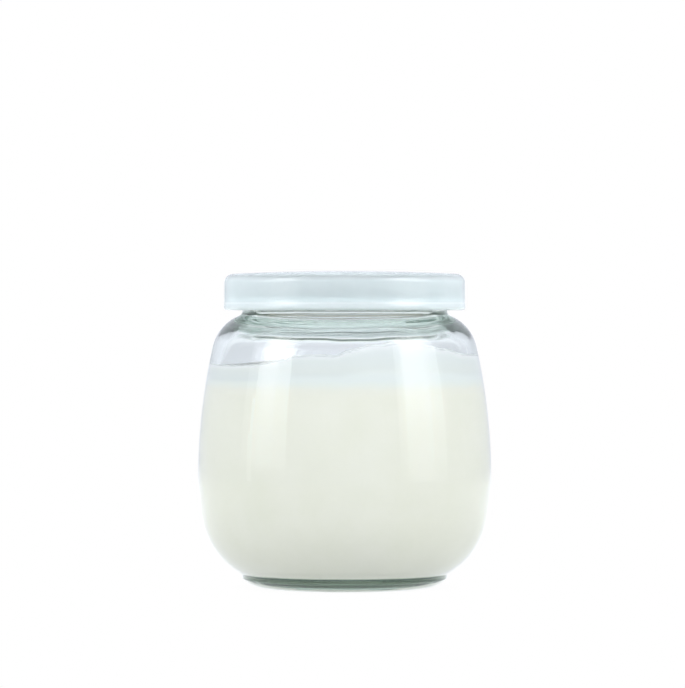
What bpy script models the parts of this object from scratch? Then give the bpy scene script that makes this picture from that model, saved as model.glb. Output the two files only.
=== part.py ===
"""A squat glass pudding jar with a press-on lid, filled with milk pudding.

Lengths are in millimetres and become metres when a mesh is made. The origin is the middle of the ring
that the jar stands on, and +Z is up. Every piece is turned about Z from an outline of (radius, height)
points, made of arcs and straight runs. An arc's angles are in degrees, 0 outwards and 90 up.
"""
import math

import bmesh
import bpy

# Driving dimensions, in millimetres and degrees
SEGMENTS = 48

BELLY_RADIUS = 37.5
BELLY_HEIGHT = 27.6
SIDE_ARC = 154.0
SIDE_TURN = 12.75
SHOULDER_ARC = 11.0
NECK_RADIUS = 26.2
NECK_FILLET = 1.2
LOWER_ARC = 63.0
LOWER_TURN = 8.0
CORNER_ARC = 21.1
FOOT_ANGLE = 61.0

WALL = 2.6
FLOOR_HEIGHT = 5.0
FOOT_RADIUS = 20.5
HEEL_ARC = 8.0
BEARING_WIDTH = 2.0
PUNT_HEIGHT = 1.4
PUNT_RISE_WIDTH = 2.5

RIM_HEIGHT = 78.9
RIM_ROUNDING = 1.0
BEAD_ARC = 1.5
BEAD_CENTRE = (27.8, 75.8)
BEAD_FILLET = 1.0

LID_RADIUS = 30.9
LID_BOTTOM = 70.8
LID_SHOULDER = 80.1
LID_CROWN_RISE = 0.7
LID_ROUNDING = 1.8
LID_WALL = 1.2
LID_PLATE = 0.9
BAND_HEIGHT = 1.7
BAND_STEP = 0.1
LIP_ROUNDING = 0.5
GRIP_ARC = 1.0
GRIP_HEIGHT = 2.5
PLUG_WALL = 1.0
PLUG_BOTTOM = 76.5

FIT_GAP = 0.3
LEVEL = 52.0
COAT_TOP = 59.2
COAT_FOOT = 1.2
COAT_EDGE = 0.5
# Swells of the coat's top edge: (waves in a full turn, height, direction of the crest)
COAT_SWELLS = ((1, 1.7, -38.0), (2, 1.3, -60.0), (3, 0.6, -69.0))

MILLIMETRE = 0.001
WELD = 1e-7


def arc(centre, radius, start, end, steps):
    """Points along an arc from the angle start to the angle end, with both ends."""
    points = []
    for step in range(steps + 1):
        angle = math.radians(start + (end - start) * step / steps)
        points.append((centre[0] + radius * math.cos(angle), centre[1] + radius * math.sin(angle)))
    return points


def centre_inside(centre, radius, angle, smaller):
    """The centre of a smaller arc that meets an arc smoothly at an angle."""
    reach = radius - smaller
    turn = math.radians(angle)
    return (centre[0] + reach * math.cos(turn), centre[1] + reach * math.sin(turn))


# Centres that the jar's outside and inside share
SIDE_CENTRE = (BELLY_RADIUS - SIDE_ARC, BELLY_HEIGHT)
SHOULDER_CENTRE = centre_inside(SIDE_CENTRE, SIDE_ARC, SIDE_TURN, SHOULDER_ARC)
LOWER_CENTRE = (BELLY_RADIUS - LOWER_ARC, BELLY_HEIGHT)
CORNER_CENTRE = centre_inside(LOWER_CENTRE, LOWER_ARC, -LOWER_TURN, CORNER_ARC)


def neck_fillet():
    """The centre of the fillet between neck and shoulder, and the angle where it meets the shoulder."""
    across = NECK_RADIUS + NECK_FILLET - SHOULDER_CENTRE[0]
    between = SHOULDER_ARC + NECK_FILLET
    angle = math.degrees(math.acos(across / between))
    height = SHOULDER_CENTRE[1] + between * math.sin(math.radians(angle))
    return (NECK_RADIUS + NECK_FILLET, height), angle


def body_side(depth, corner_steps, floor):
    """The jar's side from the neck down to its floor, at a depth under the outside surface."""
    fillet_centre, angle = neck_fillet()
    fillet = arc(fillet_centre, NECK_FILLET + depth, 180, 180 + angle, 3)
    shoulder = arc(SHOULDER_CENTRE, SHOULDER_ARC - depth, angle, SIDE_TURN, 7)
    side = arc(SIDE_CENTRE, SIDE_ARC - depth, SIDE_TURN, 0, 5)
    lower = arc(LOWER_CENTRE, LOWER_ARC - depth, 0, -LOWER_TURN, 2)
    down = fillet + shoulder[1:] + side[1:] + lower[1:]
    if floor is None:
        return down + arc(CORNER_CENTRE, CORNER_ARC, -LOWER_TURN, -FOOT_ANGLE, corner_steps)[1:]
    start_radius, start_height = lower[-1]
    corner = (start_height - floor) / (1 - math.sin(math.radians(LOWER_TURN)))
    centre = (start_radius - corner * math.cos(math.radians(LOWER_TURN)), floor + corner)
    return down + arc(centre, corner, -LOWER_TURN, -90, corner_steps)[1:] + [(0, floor)]


def finish():
    """The outside of the jar's mouth, from the rim down over the bead to the neck."""
    bead_radius, bead_height = BEAD_CENTRE
    rim_height = RIM_HEIGHT - RIM_ROUNDING
    # The rim's arc and the bead's arc share a straight flank at 45 degrees
    rim_radius = bead_radius + bead_height - rim_height + (BEAD_ARC - RIM_ROUNDING) * math.sqrt(2)
    rim = arc((rim_radius, rim_height), RIM_ROUNDING, 90, 45, 2)
    bead = arc(BEAD_CENTRE, BEAD_ARC, 45, -90, 6)
    fillet_centre = (NECK_RADIUS + BEAD_FILLET, bead_height - BEAD_ARC - BEAD_FILLET)
    return rim + bead + arc(fillet_centre, BEAD_FILLET, 90, 180, 3)


def foot():
    """The heel, the ring that the jar stands on, and the hollow under its base."""
    heel = arc((FOOT_RADIUS, HEEL_ARC), HEEL_ARC, -45, -90, 4)
    ring = FOOT_RADIUS - BEARING_WIDTH
    rise = [(ring, 0), (ring - PUNT_RISE_WIDTH / 2, PUNT_HEIGHT * 0.6), (ring - PUNT_RISE_WIDTH, PUNT_HEIGHT)]
    return heel + rise + [(0, PUNT_HEIGHT)]


def jar_outline():
    mouth = NECK_RADIUS - WALL
    rim = arc((mouth + RIM_ROUNDING, RIM_HEIGHT - RIM_ROUNDING), RIM_ROUNDING, 180, 90, 3)
    inside = body_side(WALL, 9, FLOOR_HEIGHT)
    return inside[::-1] + rim + finish() + body_side(0, 8, None) + foot()


def lid_outline():
    """The lid from the middle of its top, over the skirt and back along the underside."""
    top_radius = LID_RADIUS - LID_ROUNDING
    crown_arc = (top_radius ** 2 + LID_CROWN_RISE ** 2) / (2 * LID_CROWN_RISE)
    crown_centre = (0, LID_SHOULDER + LID_CROWN_RISE - crown_arc)
    crown_edge = math.degrees(math.asin(top_radius / crown_arc))
    crown = arc(crown_centre, crown_arc, 90, 90 - crown_edge, 4)
    corner = arc((top_radius, LID_SHOULDER - LID_ROUNDING), LID_ROUNDING, 90, 0, 4)
    outside = [(LID_RADIUS - BAND_STEP, LID_SHOULDER - LID_ROUNDING),
               (LID_RADIUS - BAND_STEP, LID_BOTTOM + BAND_HEIGHT + BAND_STEP),
               (LID_RADIUS, LID_BOTTOM + BAND_HEIGHT)]
    lip = arc((LID_RADIUS - LIP_ROUNDING, LID_BOTTOM + LIP_ROUNDING), LIP_ROUNDING, 0, -90, 3)
    skirt_inside = LID_RADIUS - LID_WALL
    bead = arc((skirt_inside, LID_BOTTOM + GRIP_HEIGHT), GRIP_ARC, 270, 90, 6)
    underside = LID_SHOULDER - LID_PLATE
    plug = NECK_RADIUS - WALL - FIT_GAP
    ring = [(plug, underside), (plug, PLUG_BOTTOM + PLUG_WALL / 2), (plug - PLUG_WALL / 2, PLUG_BOTTOM),
            (plug - PLUG_WALL, PLUG_BOTTOM + PLUG_WALL / 2), (plug - PLUG_WALL, underside)]
    under = [(skirt_inside, LID_BOTTOM), *bead, (skirt_inside, underside), *ring, (0, underside)]
    return crown + corner[1:-1] + outside + lip + under


def coat_edge(angle):
    """How far the coat's top edge stands above or below COAT_TOP, in a direction about Z."""
    swells = (height * math.cos(math.radians(waves * (angle - crest))) for waves, height, crest in COAT_SWELLS)
    return sum(swells)


def wall_radius(height, depth):
    """The radius of the jar's wall between belly and shoulder, at a depth under the outside surface."""
    side_top = SIDE_CENTRE[1] + (SIDE_ARC - depth) * math.sin(math.radians(SIDE_TURN))
    centre, radius = (SIDE_CENTRE, SIDE_ARC) if height < side_top else (SHOULDER_CENTRE, SHOULDER_ARC)
    return centre[0] + math.sqrt((radius - depth) ** 2 - (height - centre[1]) ** 2)


def pudding_outline():
    """The pudding up to its level, with the coat that it leaves on the wall above."""
    depth = WALL + FIT_GAP
    below = [point for point in body_side(depth, 9, FLOOR_HEIGHT + FIT_GAP) if point[1] < LEVEL]
    coat = [(wall_radius(COAT_TOP, depth + COAT_EDGE), COAT_TOP), (wall_radius(COAT_TOP, depth), COAT_TOP)]
    surface = [(0, LEVEL), (wall_radius(LEVEL, depth + 3 * COAT_FOOT), LEVEL),
               (wall_radius(LEVEL, depth + COAT_FOOT), LEVEL + COAT_FOOT)]
    return surface + coat + [(wall_radius(LEVEL, depth), LEVEL)] + below


def material(name, colour, roughness, transmission=0.0):
    made = bpy.data.materials.new(name)
    made.use_nodes = True
    shader = made.node_tree.nodes["Principled BSDF"]
    shader.inputs["Base Color"].default_value = (*colour, 1.0)
    shader.inputs["Roughness"].default_value = roughness
    shader.inputs["Metallic"].default_value = 0.0
    shader.inputs["Transmission Weight"].default_value = transmission
    return made


def turned(name, outline, surface, lift=None):
    """A closed body turned about Z from an outline that starts and ends on the axis."""
    mesh = bpy.data.meshes.new(name)
    form = bmesh.new()
    points = [form.verts.new((radius * MILLIMETRE, 0, height * MILLIMETRE)) for radius, height in outline]
    edges = [form.edges.new(pair) for pair in zip(points, points[1:])]
    bmesh.ops.spin(form, geom=points + edges, axis=(0, 0, 1), cent=(0, 0, 0), angle=math.tau,
                   steps=SEGMENTS, use_merge=True)
    bmesh.ops.remove_doubles(form, verts=form.verts, dist=WELD)
    if lift:
        for vertex in form.verts:
            vertex.co = lift(vertex.co)
    bmesh.ops.recalc_face_normals(form, faces=form.faces)
    form.to_mesh(mesh)
    form.free()
    mesh.materials.append(surface)
    mesh.shade_smooth()
    mesh.set_sharp_from_angle(angle=math.radians(30))
    made = bpy.data.objects.new(name, mesh)
    bpy.context.collection.objects.link(made)
    return made


def wavy_coat(place):
    """Moves a point of the coat's top edge up or down along the wall to the edge's height there."""
    if place.z < (LEVEL + COAT_TOP) / 2 * MILLIMETRE:
        return place
    height = COAT_TOP + coat_edge(math.degrees(math.atan2(place.y, place.x)))
    moved = place * (wall_radius(height, WALL + FIT_GAP) / wall_radius(COAT_TOP, WALL + FIT_GAP))
    moved.z = height * MILLIMETRE
    return moved


def build():
    for old in list(bpy.data.objects):
        bpy.data.objects.remove(old)
    turned("jar", jar_outline(), material("glass", (0.86, 0.92, 0.89), 0.02, 1.0))
    turned("lid", lid_outline(), material("lid_plastic", (0.80, 0.86, 0.88), 0.35))
    turned("pudding", pudding_outline(), material("milk_pudding", (0.92, 0.93, 0.85), 0.30), wavy_coat)


build()
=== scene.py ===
# %% [markdown]
# # A glass pudding jar with a press-on lid
#
# The object is a squat jar of clear glass, filled with cream-white milk pudding almost to its shoulder and
# shut by a milky plastic lid. This lesson dresses the plain solids of that jar: a fine glass wall, the
# pudding that touches it, the thin coat that the pudding left above its level, and the moulded lid.
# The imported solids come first, because every size below is set against them.

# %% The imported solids
import math

import bpy
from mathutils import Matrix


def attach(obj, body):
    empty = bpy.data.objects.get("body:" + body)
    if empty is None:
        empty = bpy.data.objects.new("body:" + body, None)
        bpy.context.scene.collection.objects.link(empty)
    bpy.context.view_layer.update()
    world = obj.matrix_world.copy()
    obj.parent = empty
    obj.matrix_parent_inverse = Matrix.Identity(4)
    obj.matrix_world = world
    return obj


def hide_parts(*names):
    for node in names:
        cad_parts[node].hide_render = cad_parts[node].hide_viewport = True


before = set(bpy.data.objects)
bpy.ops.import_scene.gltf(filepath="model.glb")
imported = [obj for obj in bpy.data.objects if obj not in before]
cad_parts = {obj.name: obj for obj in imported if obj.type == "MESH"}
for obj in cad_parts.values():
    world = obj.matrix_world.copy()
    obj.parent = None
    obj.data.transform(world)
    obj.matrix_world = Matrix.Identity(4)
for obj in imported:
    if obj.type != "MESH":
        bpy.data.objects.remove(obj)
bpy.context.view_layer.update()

# %% [markdown]
# ## Outlines made of arcs
#
# A jar maker draws half a section: arcs that meet smoothly, and a few straight runs. The same is done
# here in millimetres, as (radius, height) points. An arc gets as many points as its length needs, so that
# glass, which shows every facet in its reflections, stays smooth.

# %% Arcs and the metre
MM = 0.001


def arc(centre, radius, start, end, spacing=0.6):
    """Points along an arc, from one angle to another in degrees: 0 points outwards and 90 up."""
    length = abs(math.radians(end - start)) * radius
    steps = max(3, math.ceil(length / spacing))
    turns = [math.radians(start + (end - start) * step / steps) for step in range(steps + 1)]
    return [(centre[0] + radius * math.cos(turn), centre[1] + radius * math.sin(turn)) for turn in turns]


def run(start, end, spacing=1.2):
    """Points along a straight run, without its two ends."""
    steps = max(1, math.ceil(math.dist(start, end) / spacing))
    shares = [step / steps for step in range(1, steps)]
    return [(start[0] + (end[0] - start[0]) * s, start[1] + (end[1] - start[1]) * s) for s in shares]


def inner_centre(centre, radius, angle, smaller):
    """The centre of a smaller arc that leaves a larger one smoothly at an angle."""
    turn = math.radians(angle)
    return (centre[0] + (radius - smaller) * math.cos(turn), centre[1] + (radius - smaller) * math.sin(turn))


# %% [markdown]
# ## The jar's section
#
# The side is one very large arc that leans in towards a tight shoulder, and below the belly a rounder arc
# runs into the corner above the foot. The inside shares the centre of the side, so the wall keeps one
# thickness there. Blown glass is thicker where the mould is narrow, so inside the shoulder turns tighter,
# and the floor is half as thick again as the wall. Below the corner the foot has a short upright side and
# a wide round heel.

# %% The jar's driving sizes
BELLY_RADIUS, BELLY_HEIGHT = 37.5, 27.6
SIDE_ARC, SIDE_TURN = 154.0, 12.75
SHOULDER_ARC = 11.0
NECK_RADIUS, NECK_FILLET = 26.2, 1.2
LOWER_ARC, LOWER_TURN = 63.0, 8.0
CORNER_ARC, FOOT_ANGLE = 21.1, 61.0
WALL, FLOOR_HEIGHT = 2.6, 5.4
INNER_SIDE_TURN, INNER_SHOULDER, INNER_FILLET = 12.75, 6.7, 2.0
INNER_CORNER, FLOOR_FILLET = 18.0, 6.0
FOOT_RADIUS, HEEL_ARC, BEARING_WIDTH = 20.5, 8.0, 2.0
PUNT_HEIGHT, PUNT_RISE = 1.4, 2.5
RIM_HEIGHT, RIM_ROUNDING = 78.9, 1.0
BEAD_CENTRE, BEAD_ARC, BEAD_FILLET = (27.8, 75.8), 1.5, 1.0

SIDE_CENTRE = (BELLY_RADIUS - SIDE_ARC, BELLY_HEIGHT)
LOWER_CENTRE = (BELLY_RADIUS - LOWER_ARC, BELLY_HEIGHT)
CORNER_CENTRE = inner_centre(LOWER_CENTRE, LOWER_ARC, -LOWER_TURN, CORNER_ARC)


# %% From the neck down, outside and inside
def side_down(neck, fillet, shoulder, side, side_turn, lower, lower_turn):
    """A hollow rounding under the neck, the shoulder, the side and the start of the lower part."""
    centre = inner_centre(SIDE_CENTRE, side, side_turn, shoulder)
    turn = math.degrees(math.acos((neck + fillet - centre[0]) / (shoulder + fillet)))
    height = centre[1] + (shoulder + fillet) * math.sin(math.radians(turn))
    under_neck = arc((neck + fillet, height), fillet, 180, 180 + turn, 0.4)
    down = under_neck + arc(centre, shoulder, turn, side_turn)[1:]
    return down + arc(SIDE_CENTRE, side, side_turn, 0)[1:] + arc(LOWER_CENTRE, lower, 0, -lower_turn)[1:]


def inside_down():
    """From the neck down to the middle of the floor, which meets the corner in a small rounding."""
    down = side_down(NECK_RADIUS - WALL, INNER_FILLET, INNER_SHOULDER, SIDE_ARC - WALL, INNER_SIDE_TURN,
                     LOWER_ARC - WALL, LOWER_TURN)
    corner = inner_centre(LOWER_CENTRE, LOWER_ARC - WALL, -LOWER_TURN, INNER_CORNER)
    reach, drop = INNER_CORNER - FLOOR_FILLET, corner[1] - FLOOR_HEIGHT - FLOOR_FILLET
    flat = corner[0] + math.sqrt(reach ** 2 - drop ** 2)
    end = -math.degrees(math.asin(drop / reach))
    round_corner = arc(corner, INNER_CORNER, -LOWER_TURN, end)
    rounding = arc((flat, FLOOR_HEIGHT + FLOOR_FILLET), FLOOR_FILLET, end, -90, 0.3)
    print("flat floor to", round(flat, 1), "mm")
    return down + round_corner[1:] + rounding[1:] + run(rounding[-1], (0, FLOOR_HEIGHT)) + [(0, FLOOR_HEIGHT)]


INSIDE = inside_down()


def inside_radius(height):
    """The radius of the inside at a height between the floor and the neck."""
    for (radius, upper), (next_radius, lower) in zip(INSIDE, INSIDE[1:]):
        if lower <= height <= upper and upper > lower:
            return next_radius + (radius - next_radius) * (height - lower) / (upper - lower)
    return NECK_RADIUS - WALL


# %% The mouth, the foot and the whole section
def mouth_outside():
    """From the top of the rim, over the bead that holds the lid, to the neck."""
    rim_height = RIM_HEIGHT - RIM_ROUNDING
    rim_radius = BEAD_CENTRE[0] + BEAD_CENTRE[1] - rim_height + (BEAD_ARC - RIM_ROUNDING) * math.sqrt(2)
    rim = arc((rim_radius, rim_height), RIM_ROUNDING, 90, 45, 0.2)
    bead = arc(BEAD_CENTRE, BEAD_ARC, 45, -90, 0.3)
    neck_top = (NECK_RADIUS + BEAD_FILLET, BEAD_CENTRE[1] - BEAD_ARC - BEAD_FILLET)
    return rim + bead + arc(neck_top, BEAD_FILLET, 90, 180, 0.2)


def foot_outside():
    """The heel, the ring that the jar stands on, and the shallow hollow inside that ring."""
    heel = arc((FOOT_RADIUS, HEEL_ARC), HEEL_ARC, -45, -90, 0.4)
    ring = FOOT_RADIUS - BEARING_WIDTH
    slope = [(ring - PUNT_RISE * s, PUNT_HEIGHT * (3 * s * s - 2 * s ** 3)) for s in (i / 8 for i in range(9))]
    return heel + slope + run(slope[-1], (0, PUNT_HEIGHT)) + [(0, PUNT_HEIGHT)]


def jar_section():
    mouth = NECK_RADIUS - WALL
    rim = arc((mouth + RIM_ROUNDING, RIM_HEIGHT - RIM_ROUNDING), RIM_ROUNDING, 180, 90, 0.2)
    inside = INSIDE[::-1]
    outside = side_down(NECK_RADIUS, NECK_FILLET, SHOULDER_ARC, SIDE_ARC, SIDE_TURN, LOWER_ARC, LOWER_TURN)
    corner = arc(CORNER_CENTRE, CORNER_ARC, -LOWER_TURN, -FOOT_ANGLE)[1:]
    return inside + run(inside[-1], rim[0]) + rim + mouth_outside() + outside + corner + foot_outside()


section = jar_section()
print("jar section:", len(section), "points")

# %% [markdown]
# ## Turning a section
#
# Glass is pressed and blown in a round mould, and the lid is moulded round too, so every piece is a body
# of revolution. By hand this is one vertex, extruded point by point along the section, and then the Spin
# tool. Spin leaves doubles on the axis and may turn the shell inside out, so doubles are merged first and
# normals made to point outwards after that.

# %% Spin a section round the jar's axis
def turned(name, outline, around=192):
    bpy.ops.object.select_all(action="DESELECT")
    bpy.ops.mesh.primitive_plane_add(size=MM)
    piece = bpy.context.object
    piece.name = piece.data.name = name
    bpy.ops.object.mode_set(mode="EDIT")
    bpy.ops.mesh.merge(type="CENTER")
    bpy.ops.transform.translate(value=(outline[0][0] * MM, 0, outline[0][1] * MM))
    for (radius, height), (next_radius, next_height) in zip(outline, outline[1:]):
        step = ((next_radius - radius) * MM, 0, (next_height - height) * MM)
        bpy.ops.mesh.extrude_region_move(TRANSFORM_OT_translate={"value": step})
    bpy.ops.mesh.select_all(action="SELECT")
    bpy.ops.mesh.spin(steps=around, angle=math.tau, center=(0, 0, 0), axis=(0, 0, 1))
    bpy.ops.mesh.select_all(action="SELECT")
    bpy.ops.mesh.remove_doubles(threshold=1e-6)
    bpy.ops.mesh.normals_make_consistent(inside=False)
    bpy.ops.object.mode_set(mode="OBJECT")
    bpy.ops.object.shade_smooth()
    print(name, len(piece.data.polygons), "faces", [round(v * 1000, 2) for v in piece.dimensions], "mm")
    return piece


jar = turned("jar_glass", section)

# %% [markdown]
# ## Glass that isn't perfect
#
# Only the outside of a blown jar touches the mould. The inside is shaped by air alone and keeps slow
# waves, strongest in the narrow, thick parts: the neck, the shoulder and the floor. Light bends twice
# there, which draws the wandering lines under the lid and the pale curls in the foot. Two cloud textures
# move the inner skin along its normals, a slow one and a fine one. Their space is an empty that is
# squeezed in height, because the waves run round the jar.

# %% Weights on the inner skin
NECK_ZONE, FLOOR_ZONE = (61.5, 66.0), (6.0, 9.0)
SIDE_WEIGHT = 0.25
WALL_NEAR, FLOOR_NEAR, FLOOR_SPAN, STILL_RIM = 0.3, 0.1, 25, 3


def waviness(radius, height):
    """How much the skin at a point may move, from 0 to 1."""
    on_wall = abs(radius - inside_radius(height)) <= WALL_NEAR
    on_floor = radius < FLOOR_SPAN and abs(height - FLOOR_HEIGHT) < FLOOR_NEAR
    if height > RIM_HEIGHT - STILL_RIM or not (on_wall or on_floor):
        return 0.0
    neck = (height - NECK_ZONE[0]) / (NECK_ZONE[1] - NECK_ZONE[0])
    floor = (FLOOR_ZONE[1] - height) / (FLOOR_ZONE[1] - FLOOR_ZONE[0])
    return max(SIDE_WEIGHT, min(1.0, neck), min(1.0, floor))


def weigh(piece, name, weight_at):
    group = piece.vertex_groups.new(name=name)
    moved = 0
    for vertex in piece.data.vertices:
        weight = weight_at(math.hypot(vertex.co.x, vertex.co.y) / MM, vertex.co.z / MM)
        if weight > 0:
            group.add([vertex.index], weight, "REPLACE")
            moved += 1
    print(name, "holds", moved, "of", len(piece.data.vertices), "points")


weigh(jar, "inner_skin", waviness)


# %% Waves from cloud textures
def ripple(piece, group, name, size, depth, squeeze):
    """Moves a group's points along their normals by a cloud texture: sizes in millimetres."""
    bpy.ops.object.select_all(action="DESELECT")
    bpy.ops.object.empty_add(type="PLAIN_AXES", location=(0, 0, 0))
    space = bpy.context.object
    space.scale = (1, 1, squeeze)
    bpy.context.view_layer.update()
    clouds = bpy.data.textures.new(name, "CLOUDS")
    clouds.noise_scale = size * MM
    clouds.noise_depth = 1
    wave = piece.modifiers.new(name, "DISPLACE")
    wave.texture, wave.texture_coords, wave.texture_coords_object = clouds, "OBJECT", space
    wave.vertex_group, wave.direction = group, "NORMAL"
    wave.strength, wave.mid_level = depth * MM, 0.5
    bpy.context.view_layer.objects.active = piece
    bpy.ops.object.modifier_apply(modifier=name)
    bpy.data.objects.remove(space)
    print(name, "moves the skin by up to", depth / 2, "mm")


WAVES = {"slow_waves": (9.0, 0.38, 0.8), "fine_waves": (4.0, 0.08, 0.7)}
for wave_name, (wave_size, wave_depth, wave_squeeze) in WAVES.items():
    ripple(jar, "inner_skin", wave_name, wave_size, wave_depth, wave_squeeze)

# %% [markdown]
# ## The lid's section
#
# A soft press-on lid is moulded in one piece: a gently domed top, a rounded edge, a straight skirt with a
# slightly thicker band round its bottom, a bead inside that grips under the jar's bead, and a ring that
# plugs the mouth.

# %% The lid
LID_RADIUS, LID_BOTTOM, LID_SHOULDER = 30.9, 70.8, 80.1
CROWN_RISE, LID_ROUNDING = 0.7, 2.3
LID_WALL, LID_PLATE = 1.2, 0.9
BAND_HEIGHT, BAND_STEP, LIP_ROUNDING = 1.7, 0.1, 0.8
GRIP_ARC, GRIP_HEIGHT = 1.0, 2.5
PLUG_WALL, PLUG_BOTTOM, FIT_GAP = 1.0, 76.5, 0.3


def lid_section():
    flat = LID_RADIUS - LID_ROUNDING
    crown_arc = (flat ** 2 + CROWN_RISE ** 2) / (2 * CROWN_RISE)
    edge = math.degrees(math.asin(flat / crown_arc))
    crown = arc((0, LID_SHOULDER + CROWN_RISE - crown_arc), crown_arc, 90, 90 - edge, 1.0)
    corner = arc((flat - BAND_STEP, LID_SHOULDER - LID_ROUNDING), LID_ROUNDING, 88, 0, 0.2)
    band_top = LID_BOTTOM + BAND_HEIGHT
    outside = run(corner[-1], (LID_RADIUS - BAND_STEP, band_top + BAND_STEP))
    outside += [(LID_RADIUS - BAND_STEP, band_top + BAND_STEP), (LID_RADIUS, band_top)]
    lip = arc((LID_RADIUS - LIP_ROUNDING, LID_BOTTOM + LIP_ROUNDING), LIP_ROUNDING, 0, -90, 0.1)
    skirt = LID_RADIUS - LID_WALL
    bead = arc((skirt, LID_BOTTOM + GRIP_HEIGHT), GRIP_ARC, 270, 90, 0.2)
    under = LID_SHOULDER - LID_PLATE
    plug = NECK_RADIUS - WALL - FIT_GAP
    plug_tip = arc((plug - PLUG_WALL / 2, PLUG_BOTTOM + PLUG_WALL / 2), PLUG_WALL / 2, 0, -180, 0.2)
    inside = [(skirt, LID_BOTTOM), *bead, (skirt, under), (plug, under), *plug_tip, (plug - PLUG_WALL, under)]
    return crown + corner + outside + lip + inside + run(inside[-1], (0, under)) + [(0, under)]


lid = turned("lid_shell", lid_section())

# %% [markdown]
# ## The pudding
#
# Poured hot, the pudding wets the glass, so no air lies between them. A gap would show as a mirror-like
# skin, and so the piece reaches a little way into the glass wall, and a little further into the floor.

# %% The pudding
LEVEL, MENISCUS = 52.0, 1.2
REACH, REACH_BELOW, BELOW_FADES = 0.12, 0.24, 15


def pudding_section():
    inside = [point for point in INSIDE if point[1] < LEVEL + MENISCUS]
    below = []
    for radius, height in inside:
        outwards = REACH if height > FLOOR_HEIGHT + 0.01 else 0.0
        downwards = REACH_BELOW * max(0.0, 1 - (height - FLOOR_HEIGHT) / BELOW_FADES)
        below.append((radius + outwards, height - downwards))
    edge = inside_radius(LEVEL + MENISCUS) + REACH
    rise = [(edge - 3 * MENISCUS * (1 - s), LEVEL + MENISCUS * s * s) for s in (i / 10 for i in range(11))]
    return [(0, LEVEL)] + run((0, LEVEL), rise[0]) + rise + below


pudding = turned("pudding_fill", pudding_section())

# %% [markdown]
# ## The coat above the level
#
# When the jar is filled and carried warm, the pudding washes up the wall and leaves a thin film. Its upper
# edge wanders round the jar. The film is a closed skin that follows the wall: a plain ring is spun first,
# its rows are numbered in a UV map, and then every row is moved to its share of the height between the
# film's foot, a little below the level, and the edge at that bearing. Its outer face lies in the glass and
# comes back to the wall at the foot.

# %% The film's ring
FILM_FOOT, FILM_INTO, FILM_DEPTH, FILM_ROWS = 48.0, 0.20, 0.30, 44
FILM_SINK = 2.5
RING_INNER, RING_OUTER = 30.0, 31.0
FILM_EDGE = [(-180, 59.0), (-150, 58.4), (-120, 57.6), (-90, 57.5), (-57, 57.3), (-44, 57.6), (-36, 58.0),
             (-28.5, 59.1), (-22.4, 60.2), (-16.5, 60.4), (-3.4, 60.3), (0.9, 61.4), (5, 62.1), (11.6, 63.1),
             (25, 63.5), (40.5, 62.7), (49.6, 61.8), (63.6, 60.3), (78, 59.9), (100, 59.2), (130, 58.2),
             (155, 58.5), (180, 59.0)]


def film_edge(bearing):
    """The height of the film's edge at a bearing from the front, in degrees to the right."""
    for (start, low), (end, high) in zip(FILM_EDGE, FILM_EDGE[1:]):
        if start <= bearing <= end:
            share = (bearing - start) / (end - start)
            return low + (high - low) * share * share * (3 - 2 * share)
    return FILM_EDGE[0][1]


rows = [row / FILM_ROWS for row in range(FILM_ROWS + 1)]
ring = [(RING_INNER, share) for share in rows] + [(RING_OUTER, share) for share in reversed(rows)]
ring.append((RING_INNER, 0.0))
film = turned("pudding_film", ring)


# %% The film's rows follow the wall
def follow_wall(piece):
    mesh = piece.data
    shares = [vertex.co.z / MM for vertex in mesh.vertices]
    numbers = mesh.uv_layers.new(name="rows")
    for loop in mesh.loops:
        where = mesh.vertices[loop.vertex_index].co
        numbers.data[loop.index].uv = (math.atan2(where.x, -where.y) / math.tau + 0.5, shares[loop.vertex_index])
    for vertex, share in zip(mesh.vertices, shares):
        outer = math.hypot(vertex.co.x, vertex.co.y) > (RING_INNER + RING_OUTER) / 2 * MM
        turn = math.atan2(vertex.co.x, -vertex.co.y)
        height = FILM_FOOT + share * (film_edge(math.degrees(turn)) - FILM_FOOT)
        into = FILM_INTO * min(1.0, (height - FILM_FOOT) / FILM_SINK)
        radius = inside_radius(height) + (into if outer else -FILM_DEPTH)
        vertex.co = (radius * math.sin(turn) * MM, -radius * math.cos(turn) * MM, height * MM)
    bpy.context.view_layer.objects.active = piece
    bpy.ops.object.mode_set(mode="EDIT")
    bpy.ops.mesh.select_all(action="SELECT")
    bpy.ops.mesh.normals_make_consistent(inside=False)
    bpy.ops.object.mode_set(mode="OBJECT")
    print(piece.name, "rises to", round(max(v.co.z for v in mesh.vertices) / MM, 1), "mm")


follow_wall(film)

# %% [markdown]
# ## How the finishes are written
#
# A material is a board of nodes joined by links, and what varies over a surface is arithmetic on patterns.
# By hand that is dozens of Math nodes. Here a small class wraps a socket, so that `row + cloud * 0.05` adds
# those nodes itself, and the recipe still reads as a formula.

# %% A socket that Python's operators work on
class Shade:
    """A shader socket. Operators on it add Math nodes."""

    def __init__(self, finish, socket):
        self.finish, self.socket = finish, socket

    def _math(self, operation, first, second):
        return self.finish.node("ShaderNodeMath", {0: first, 1: second}, operation=operation)

    def __add__(self, other):
        return self._math("ADD", self, other)

    def __sub__(self, other):
        return self._math("SUBTRACT", self, other)

    def __mul__(self, other):
        return self._math("MULTIPLY", self, other)


# %% [markdown]
# ## One way to place a node
#
# Every other node is placed by one method. It takes the kind of node, sets its options and the stops of its
# ramp first, and then gives each input either a number or a link. Two helpers make the ramps that are used
# again and again: one of greys, and one of colours by height, because moulded and poured things change
# from top to bottom.

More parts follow.
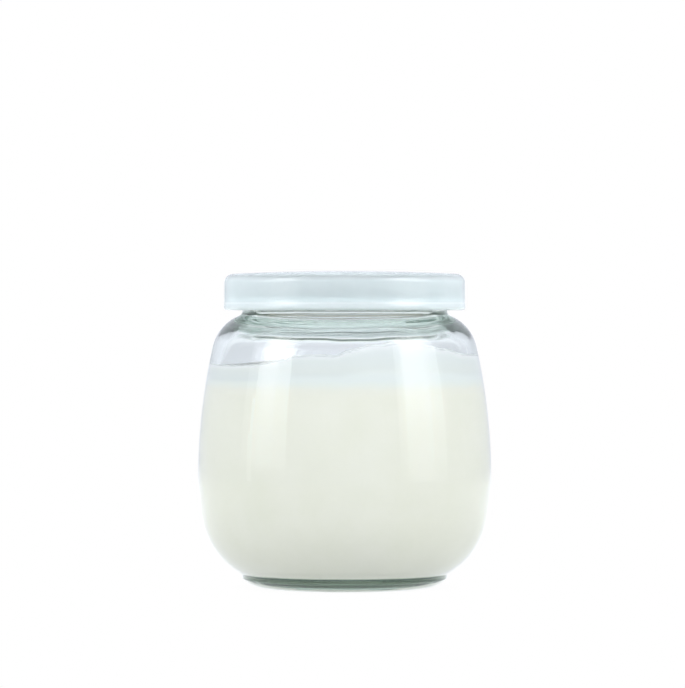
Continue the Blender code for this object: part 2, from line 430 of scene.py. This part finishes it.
# %% A board of nodes
class Finish:
    """A board of nodes: a material, or the nodes of a lamp or of the room."""

    def __init__(self, name, owner=None):
        self.owner = owner or bpy.data.materials.new(name)
        self.owner.use_nodes = True
        self.tree = self.owner.node_tree
        self.tree.nodes.clear()

    def node(self, kind, inputs=None, output=0, stops=None, **settings):
        made = self.tree.nodes.new(kind)
        for name, value in settings.items():
            setattr(made, name, value)
        for place, (position, colour) in enumerate(stops or ()):
            elements = made.color_ramp.elements
            stop = elements[place] if place < 2 else elements.new(position)
            stop.position, stop.color = position, colour
        for name, value in (inputs or {}).items():
            if isinstance(value, Shade):
                self.tree.links.new(value.socket, made.inputs[name])
            else:
                made.inputs[name].default_value = value
        return Shade(self, made.outputs[output])

    def ramp(self, value, levels, tint=(1, 1, 1)):
        """Greys, or tinted greys, from (position, level) pairs in rising order."""
        first, *rest = [(position, (*(level * t for t in tint), 1)) for position, level in levels]
        return self.node("ShaderNodeValToRGB", {"Fac": value}, stops=[first, rest[-1], *rest[:-1]])

    def finish(self, surface, volume=None):
        kinds = {"World": "ShaderNodeOutputWorld", "AreaLight": "ShaderNodeOutputLight"}
        end = self.tree.nodes.new(kinds.get(type(self.owner).__name__, "ShaderNodeOutputMaterial"))
        self.tree.links.new(surface.socket, end.inputs["Surface"])
        if volume:
            self.tree.links.new(volume.socket, end.inputs["Volume"])
        return self.owner


def tones_by_height(finish, height, tones, wander=0.0):
    """Colours from (height in millimetres, colour) pairs, shifted a little by a wandering value."""
    low, high = tones[0][0] * MM, tones[-1][0] * MM
    first, *rest = [((level * MM - low) / (high - low), tone) for level, tone in tones]
    share = (height - low) * (1 / (high - low)) + wander
    return finish.node("ShaderNodeValToRGB", {"Fac": share}, stops=[first, rest[-1], *rest[:-1]])


# %% Dressing a piece
def dress(piece, material):
    """Gives a piece its finish, its body and the slot that it stands for in the record."""
    piece.data.materials.clear()
    piece.data.materials.append(material)
    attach(piece, "root")
    print(piece.name, "wears", material.name, "with", len(material.node_tree.nodes), "nodes")


# %% [markdown]
# ## Glass
#
# Clear jar glass has no colour on its surface. The little iron in it takes light away inside, so a thin wall
# looks clear and the thick foot looks green. A tint on the surface would colour both alike, so the colour is
# a volume that absorbs with depth, and the surface stays colourless. The skin is fire-polished, with only
# the faint film of handling on it: a cloud pattern that greys it by a hundredth and dulls it by less.

# %% Glass that darkens with depth
GLASS_TINT, GLASS_DENSITY = (0.70, 0.765, 0.72, 1), 88.0
GLASS_CLEAN, GLASS_HANDLED = (1, 1, 1, 1), (0.985, 0.99, 0.985, 1)


def glass_finish():
    glass = Finish("jar_glass")
    body = glass.node("ShaderNodeTexCoord", output="Object")
    smear = glass.node("ShaderNodeTexNoise", {"Vector": body, "Scale": 60.0, "Detail": 3.0})
    tone = glass.node("ShaderNodeMix", {"Factor": glass.ramp(smear, [(0.5, 0.0), (0.7, 1.0)]), "A": GLASS_CLEAN,
                                        "B": GLASS_HANDLED}, output="Result", data_type="RGBA")
    surface = glass.node("ShaderNodeBsdfPrincipled", {
        "Base Color": tone, "Roughness": glass.ramp(smear, [(0.55, 0.0), (0.75, 0.006)]), "IOR": 1.5,
        "Transmission Weight": 1.0})
    volume = glass.node("ShaderNodeVolumeAbsorption", {"Color": GLASS_TINT, "Density": GLASS_DENSITY})
    return glass.finish(surface, volume)


dress(jar, glass_finish())
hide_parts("jar")
kept = [round(math.exp(-(1 - tint) * GLASS_DENSITY * WALL * MM), 2) for tint in GLASS_TINT[:3]]
print("light kept through one wall:", kept)

# %% [markdown]
# ## Lid plastic
#
# The lid is natural polyethylene, neither clear nor white: light goes in, wanders for a centimetre and comes
# out softened, so the dark gap under the top and the jar's bright rim show through as pale and dull zones.
# Subsurface scattering with a long radius does that. The wall is thinner at the top edge and thicker in the band
# round the bottom. The tones by height are partly that and partly painted light and shade: the bottom band is a
# little lighter, a thin painted highlight lies along the step at the band's top, the skirt grows a little lighter
# upwards, and painted shade darkens the top edge and the crown. Slow flow clouds, a fine moulded grain and a satin
# gloss that wears unevenly finish it. Clouds and grain are strong on the sides and calm on the top.

# %% Lid plastic
LID_DEPTH = 0.012
# Tones by height with painted light and shade: a painted highlight line at 72.6 mm, and painted shade from 79.5 mm
# over the top edge and crown.
LID_TONES_AND_PAINTED_LIGHT = [(70.5, (0.49, 0.60, 0.585, 1)), (72.2, (0.50, 0.61, 0.595, 1)), (72.6, (0.60, 0.70, 0.68, 1)),
             (73.0, (0.475, 0.585, 0.575, 1)), (74.5, (0.475, 0.585, 0.575, 1)), (78.2, (0.50, 0.615, 0.605, 1)),
             (79.5, (0.425, 0.505, 0.495, 1)), (80.8, (0.385, 0.45, 0.44, 1))]
LID_CALM = (0.15, 0.15, 0.15, 1)
LID_SIDES = [(70.5, (1, 1, 1, 1)), (79.0, (1, 1, 1, 1)), (80.0, LID_CALM), (80.8, LID_CALM)]
LID_CLOUD = (0.63, 0.71, 0.70, 1)


def lid_finish():
    plastic = Finish("lid_plastic")
    body = plastic.node("ShaderNodeTexCoord", output="Object")
    height = plastic.node("ShaderNodeSeparateXYZ", {0: body}, output="Z")
    # Base tones by height, with the painted highlight line and the painted shade on the top edge and crown.
    tone = tones_by_height(plastic, height, LID_TONES_AND_PAINTED_LIGHT)
    sides = tones_by_height(plastic, height, LID_SIDES)
    flow = plastic.node("ShaderNodeTexNoise", {"Vector": body, "Scale": 170.0, "Detail": 2.0})
    cloud = (flow - 0.5) * sides + 0.5
    pale = plastic.node("ShaderNodeMix", {"Factor": plastic.ramp(cloud, [(0.35, 0.0), (0.75, 0.16)]), "A": tone,
                                          "B": LID_CLOUD}, output="Result", data_type="RGBA")
    grain = plastic.node("ShaderNodeTexNoise", {"Vector": body, "Scale": 3200.0, "Detail": 2.0})
    skin = plastic.node("ShaderNodeBump", {"Strength": 0.03, "Distance": 0.0002, "Height": grain * sides})
    surface = plastic.node("ShaderNodeBsdfPrincipled", {
        "Base Color": pale, "Roughness": plastic.ramp(cloud, [(0.3, 0.13), (0.7, 0.19)]), "Normal": skin,
        "IOR": 1.5, "Subsurface Weight": 1.0, "Subsurface Radius": (1, 1, 1), "Subsurface Scale": LID_DEPTH})
    return plastic.finish(surface)


dress(lid, lid_finish())
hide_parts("lid")

# %% [markdown]
# ## Milk pudding
#
# Set pudding is almost white, warmed by cream, and faintly uneven where it set against the cold wall. It
# touches the glass, so there is no air between them: light that meets it comes from inside the glass. Its
# wet skin has a lower index than glass, so it mirrors only at shallow angles, and beyond the critical angle
# completely. A Fresnel node with the ratio of the two indices, below 1, gives exactly that share to a
# mirror, and the rest to matt flesh.

# %% Milk pudding
PUDDING_PALE, PUDDING_DEEP = (0.957, 0.92, 0.82, 1), (0.927, 0.895, 0.78, 1)
PUDDING_INDEX, GLASS_INDEX = 1.35, 1.5


def pudding_finish():
    milk = Finish("milk_pudding")
    body = milk.node("ShaderNodeTexCoord", output="Object")
    cloud = milk.node("ShaderNodeTexNoise", {"Vector": body, "Scale": 90.0, "Detail": 4.0})
    grain = milk.node("ShaderNodeTexNoise", {"Vector": body, "Scale": 1400.0, "Detail": 2.0})
    mottle = milk.ramp(cloud * 0.75 + grain * 0.25, [(0.36, 0.0), (0.64, 1.0)])
    tone = milk.node("ShaderNodeMix", {"Factor": mottle, "A": PUDDING_DEEP, "B": PUDDING_PALE},
                     output="Result", data_type="RGBA")
    flesh = milk.node("ShaderNodeBsdfPrincipled", {"Base Color": tone, "Roughness": 0.4, "Specular IOR Level": 0.0})
    mirror = milk.node("ShaderNodeBsdfGlossy", {"Color": (1, 1, 1, 1), "Roughness": 0.0})
    shine = milk.node("ShaderNodeFresnel", {"IOR": PUDDING_INDEX / GLASS_INDEX})
    return milk.finish(milk.node("ShaderNodeMixShader", {0: shine, 1: flesh, 2: mirror}))


dress(pudding, pudding_finish())
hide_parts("pudding")
print("the pudding mirrors fully beyond", round(math.degrees(math.asin(PUDDING_INDEX / GLASS_INDEX))), "degrees")

# %% [markdown]
# ## The coat's finish
#
# The coat is the same pudding, but so thin that a little light passes it, and it looks cooler than the mass
# below. It is full at the foot, lets about a twentieth through higher up, and ends in an edge that fades
# within about a millimetre. Two values steer that: the row in the UV map, which follows the wandering edge,
# for how well it covers, and the height, for the change of colour at the level, from cream to cool white.
# Streaky clouds disturb both. Towards the edge the coat is painted whiter: painted light over the thin line of
# shade where the coat fades out.

# %% The coat's finish
FILM_COVER = 0.94
FILM_EDGES = [(0, 1.0), (0.45, 1.0), (0.55, FILM_COVER), (0.89, FILM_COVER), (0.955, 0.0), (1, 0)]
# Painted light: the coat turns whiter towards its edge, over the line of shade where it fades out.
FILM_EDGE_PAINTED_LIGHT = [(0.8, 0.0), (0.9, 0.8)]
FILM_TONES = [(47.0, (0.942, 0.906, 0.80, 1)), (50.7, (0.927, 0.898, 0.805, 1)), (52.2, (0.895, 0.905, 0.855, 1)),
              (53.3, (0.88, 0.90, 0.88, 1)), (54.3, (0.885, 0.905, 0.885, 1)), (55.6, (0.905, 0.92, 0.89, 1)),
              (58.0, (0.915, 0.935, 0.915, 1)), (64.0, (0.935, 0.95, 0.965, 1))]


def film_finish():
    milk = Finish("milk_film")
    place = milk.node("ShaderNodeUVMap", uv_map="rows")
    row = milk.node("ShaderNodeSeparateXYZ", {0: place}, output="Y")
    body = milk.node("ShaderNodeTexCoord", output="Object")
    height = milk.node("ShaderNodeSeparateXYZ", {0: body}, output="Z")
    streaks = milk.node("ShaderNodeMapping", {"Vector": body, "Scale": (1, 1, 2.5)})
    cloud = milk.node("ShaderNodeTexNoise", {"Vector": streaks, "Scale": 260.0, "Detail": 3.0})
    cover = milk.ramp(row + (cloud - 0.5) * 0.05, FILM_EDGES)
    body_tone = tones_by_height(milk, height, FILM_TONES, (cloud - 0.5) * 0.06)
    # Mixes in white towards the edge: painted light over a line of shade.
    tone = milk.node("ShaderNodeMix", {"Factor": milk.ramp(row, FILM_EDGE_PAINTED_LIGHT), "A": body_tone, "B": (1, 1, 1, 1)},
                     output="Result", data_type="RGBA")
    surface = milk.node("ShaderNodeBsdfPrincipled", {
        "Base Color": tone, "Roughness": 0.5, "Specular IOR Level": 0.0, "Alpha": cover})
    return milk.finish(surface)


dress(film, film_finish())

# %% [markdown]
# ## The light of the room
#
# Glass shows the room more than itself. A white tent round the jar is brighter in front than behind, which
# gives the glass its grey edges. The same round of levels is used twice, in the world and on the far part
# of the table, so one helper makes it: a ramp over the bearing, from -180 to 180 degrees.

# %% Levels round the room
ROOM_GLOW = [(-180, 0.82), (-165, 0.82), (-135, 1.07), (-105, 1.27), (-75, 1.41), (-45, 1.50), (-15, 1.55),
             (15, 1.56), (45, 1.51), (75, 1.38), (105, 1.19), (135, 0.92), (165, 0.81), (180, 0.82)]
TOP_GLOW = 1.45
ROOM_TINT = (0.96, 1.0, 1.10)


def room_level(board, place):
    """The glow of the room at the horizon, by bearing from the front."""
    x = board.node("ShaderNodeSeparateXYZ", {0: place}, output="X")
    y = board.node("ShaderNodeSeparateXYZ", {0: place}, output="Y")
    bearing = board.node("ShaderNodeMath", {0: x, 1: y * -1.0}, operation="ARCTAN2")
    levels = [(0.5 + angle / 360, glow) for angle, glow in ROOM_GLOW]
    return board.ramp(bearing * (1 / math.tau) + 0.5, levels, ROOM_TINT)


print("the room is", round(max(glow for _, glow in ROOM_GLOW) / ROOM_GLOW[0][1], 1), "times brighter in front")

# %% [markdown]
# ## The table
#
# A jar on white paper stands in its own faint shade, and its foot lights up from the paper round it. The paper
# glows by itself, dimmer close to the jar and brighter away from it, a painted shadow, and passes into the room's
# levels within a metre. Those levels light the jar. Where the camera sees the paper itself, it is plain white,
# with a painted shadow: a soft grey patch where the jar stands.

# %% The table
FLOOR_TINT, FLOOR_REACH = (0.965, 1.0, 1.04), 0.2
# What the camera sees of the table: white, with a painted shadow as a soft grey patch round the jar.
FLOOR_SEEN_PAINTED_SHADOW = [(0, 0.85), (0.10, 0.93), (0.115, 0.985), (0.15, 1.0)]
# The table's glow for everything but the camera, dimmer near the jar: a painted shadow.
FLOOR_GLOW = [(0, 1.12), (0.16, 1.14), (0.3, 1.18), (0.45, 1.30), (0.7, 1.40), (1.0, 1.45)]
TABLE_SIZE, FAR_FROM, FAR_TO = 6.0, 0.2, 1.0


def stage_floor():
    bpy.ops.object.select_all(action="DESELECT")
    bpy.ops.mesh.primitive_plane_add(size=TABLE_SIZE, location=(0, 0, 0))
    floor = bpy.context.object
    floor.name = "floor"
    paper = Finish("white_table")
    place = paper.node("ShaderNodeTexCoord", output="Object")
    away = paper.node("ShaderNodeVectorMath", {0: place}, output="Value", operation="LENGTH")
    near = away * (1 / FLOOR_REACH)
    far = paper.node("ShaderNodeMapRange", {"Value": away, "From Min": FAR_FROM, "From Max": FAR_TO},
                     interpolation_type="SMOOTHSTEP")
    shade = paper.node("ShaderNodeMix", {"Factor": far, "A": paper.ramp(near, FLOOR_GLOW, FLOOR_TINT),
                                         "B": room_level(paper, place)}, output="Result", data_type="RGBA")
    lit = paper.node("ShaderNodeEmission", {"Color": shade, "Strength": 1.0})
    # The paper as the camera sees it, with its painted shadow round the jar.
    white = paper.node("ShaderNodeEmission", {"Color": paper.ramp(near, FLOOR_SEEN_PAINTED_SHADOW), "Strength": 1.0})
    straight = paper.node("ShaderNodeLightPath", output="Is Camera Ray")
    floor.data.materials.append(paper.finish(paper.node("ShaderNodeMixShader", {0: straight, 1: lit, 2: white})))
    print("the table is", TABLE_SIZE, "m wide")


stage_floor()

# %% [markdown]
# ## The tent
#
# Above the table the world itself is the tent: its levels round the horizon blend into one bright ceiling.
# Those levels light the jar too, and where the camera sees the tent itself, it is plain white.

# %% The tent
CEILING_FROM, CEILING_TO = 0.1, 0.95


def studio():
    world = bpy.data.worlds.new("studio")
    bpy.context.scene.world = world
    room = Finish("studio", world)
    place = room.node("ShaderNodeTexCoord", output="Generated")
    rise = room.node("ShaderNodeSeparateXYZ", {0: place}, output="Z")
    up = room.node("ShaderNodeMapRange", {"Value": rise, "From Min": CEILING_FROM, "From Max": CEILING_TO})
    top = tuple(TOP_GLOW * t for t in ROOM_TINT) + (1,)
    colour = room.node("ShaderNodeMix", {"Factor": up, "A": room_level(room, place), "B": top},
                       output="Result", data_type="RGBA")
    glow = room.node("ShaderNodeBackground", {"Color": colour, "Strength": 1.0})
    white = room.node("ShaderNodeBackground", {"Color": (1, 1, 1, 1), "Strength": 1.0})
    straight = room.node("ShaderNodeLightPath", output="Is Camera Ray")
    room.finish(room.node("ShaderNodeMixShader", {0: straight, 1: glow, 2: white}))
    print("ceiling glow", TOP_GLOW)


studio()

# %% [markdown]
# ## Softboxes
#
# Two tall softboxes stand in front, left and right, and draw the two long highlights down the glass. A
# lamp's cloth is never even: the middle is brightest, the borders fall off, and the lower end is weaker, so
# the highlights fade downwards. Those levels are ramps over the lamp's own width and height, which the
# Parametric output gives. A dark seam runs down the left cloth, and two small lamps beside its lower end
# widen its highlight there in two steps.

# %% Softboxes
SOFTBOX_LEVEL = 0.85
SOFTBOX_HEIGHT, SOFTBOX_DISTANCE = 0.85, 0.8
LEFT_ACROSS = [(-88.0, 0), (-87.0, 0.2), (-77.0, 0.25), (-76.6, 0.6), (-73.0, 0.75), (-70.5, 1.0), (-58.2, 1.0),
               (-57.9, 0.5), (-57.3, 0.5), (-57.0, 0.66), (-46.4, 0.6), (-45.8, 0)]
LEFT_UPWARDS = [(0, 0), (0.03, 0.3), (0.05, 1.5), (0.113, 1.9), (0.164, 2.4), (0.216, 3.5), (0.268, 4.6), (0.33, 5.5),
                (0.80, 6.0), (0.85, 0)]
RIGHT_ACROSS = [(42.9, 0), (43.3, 0.28), (47.0, 0.38), (50.2, 0.58), (50.6, 1.0), (72.3, 1.0), (72.9, 0.66),
                (85.2, 0.5), (85.6, 0.1), (92.0, 0)]
RIGHT_UPWARDS = [(0, 0.6), (0.037, 1.25), (0.113, 1.85), (0.164, 2.6), (0.216, 3.4), (0.268, 4.1), (0.33, 4.7),
                 (0.45, 6.0), (0.80, 6.0), (0.85, 0)]
SKIRTS = {
    "skirt_upper": ([(-79.6, 0), (-79.2, 0.7), (-76.8, 0.7), (-76.7, 0)], [(0.04, 1.2), (0.195, 3.0), (0.2, 0)]),
    "skirt_lower": ([(-81.2, 0), (-80.9, 0.8), (-79.7, 0.8), (-79.6, 0)], [(0.04, 1.2), (0.11, 1.9), (0.115, 0)]),
}


def softbox(name, across, upwards):
    """A tall lamp that faces the jar, between the first and last bearing from the front."""
    first, last = across[0][0], across[-1][0]
    turn = math.radians((first + last) / 2)
    width = 2 * SOFTBOX_DISTANCE * math.tan(math.radians((last - first) / 2))
    data = bpy.data.lights.new(name, "AREA")
    data.shape = "RECTANGLE"
    data.size, data.size_y = width, SOFTBOX_HEIGHT
    data.energy = SOFTBOX_LEVEL * math.pi * width * SOFTBOX_HEIGHT
    cloth = Finish(name, data)
    place = cloth.node("ShaderNodeNewGeometry", output="Parametric")
    u = cloth.node("ShaderNodeSeparateXYZ", {0: place}, output="X")
    v = cloth.node("ShaderNodeSeparateXYZ", {0: place}, output="Y")
    sides = cloth.ramp(u, [((bearing - first) / (last - first), level) for bearing, level in across])
    level = sides * cloth.ramp(v, [(height / SOFTBOX_HEIGHT, glow) for height, glow in upwards])
    cloth.finish(cloth.node("ShaderNodeEmission", {"Color": (1, 1, 1, 1), "Strength": level}))
    lamp = bpy.data.objects.new(name, data)
    lamp.location = (SOFTBOX_DISTANCE * math.sin(turn), -SOFTBOX_DISTANCE * math.cos(turn), SOFTBOX_HEIGHT / 2)
    lamp.rotation_euler = (math.pi / 2, 0, turn)
    bpy.context.collection.objects.link(lamp)
    print(name, "is", round(width, 2), "m wide")


softbox("softbox_left", LEFT_ACROSS, LEFT_UPWARDS)
softbox("softbox_right", RIGHT_ACROSS, RIGHT_UPWARDS)
for skirt, (skirt_across, skirt_upwards) in SKIRTS.items():
    softbox(skirt, skirt_across, skirt_upwards)

# %% [markdown]
# ## The camera
#
# A long lens from a metre away, at the height of the jar's neck, shows a jar as a buyer holds it up: the rim
# almost level, and the foot a little from above. It looks down just so much that the jar sits in the middle.

# %% The camera
CAMERA_DISTANCE, CAMERA_HEIGHT, CAMERA_SIDE = 1.040, 0.072, -0.00056
CAMERA_DROP, LENS, SENSOR = 0.00985, 212.6, 36.0
camera_data = bpy.data.cameras.new("camera")
camera_data.lens, camera_data.sensor_width = LENS, SENSOR
camera_data.clip_start = 0.01
camera = bpy.data.objects.new("camera", camera_data)
camera.location = (CAMERA_SIDE, -CAMERA_DISTANCE, CAMERA_HEIGHT)
tilt = math.atan2(CAMERA_DROP, CAMERA_DISTANCE)
camera.rotation_euler = (math.pi / 2 - tilt, 0, 0)
bpy.context.collection.objects.link(camera)
bpy.context.scene.camera = camera
print("the camera looks down by", round(math.degrees(tilt), 2), "degrees")

# %% [markdown]
# ## How far light may go
#
# Inside thick glass a ray is turned back many times before it leaves. A ray that is cut short stays black,
# so glass needs far more bounces than other things. The colours are shown as they are, without the film
# curve that Blender adds by itself, because white paper has to stay white.

# %% Bounces and colour
BOUNCES = 48
cycles = bpy.context.scene.cycles
cycles.max_bounces = cycles.transmission_bounces = cycles.glossy_bounces = BOUNCES
bpy.context.scene.view_settings.view_transform = "Standard"
print("a ray may bounce", BOUNCES, "times")
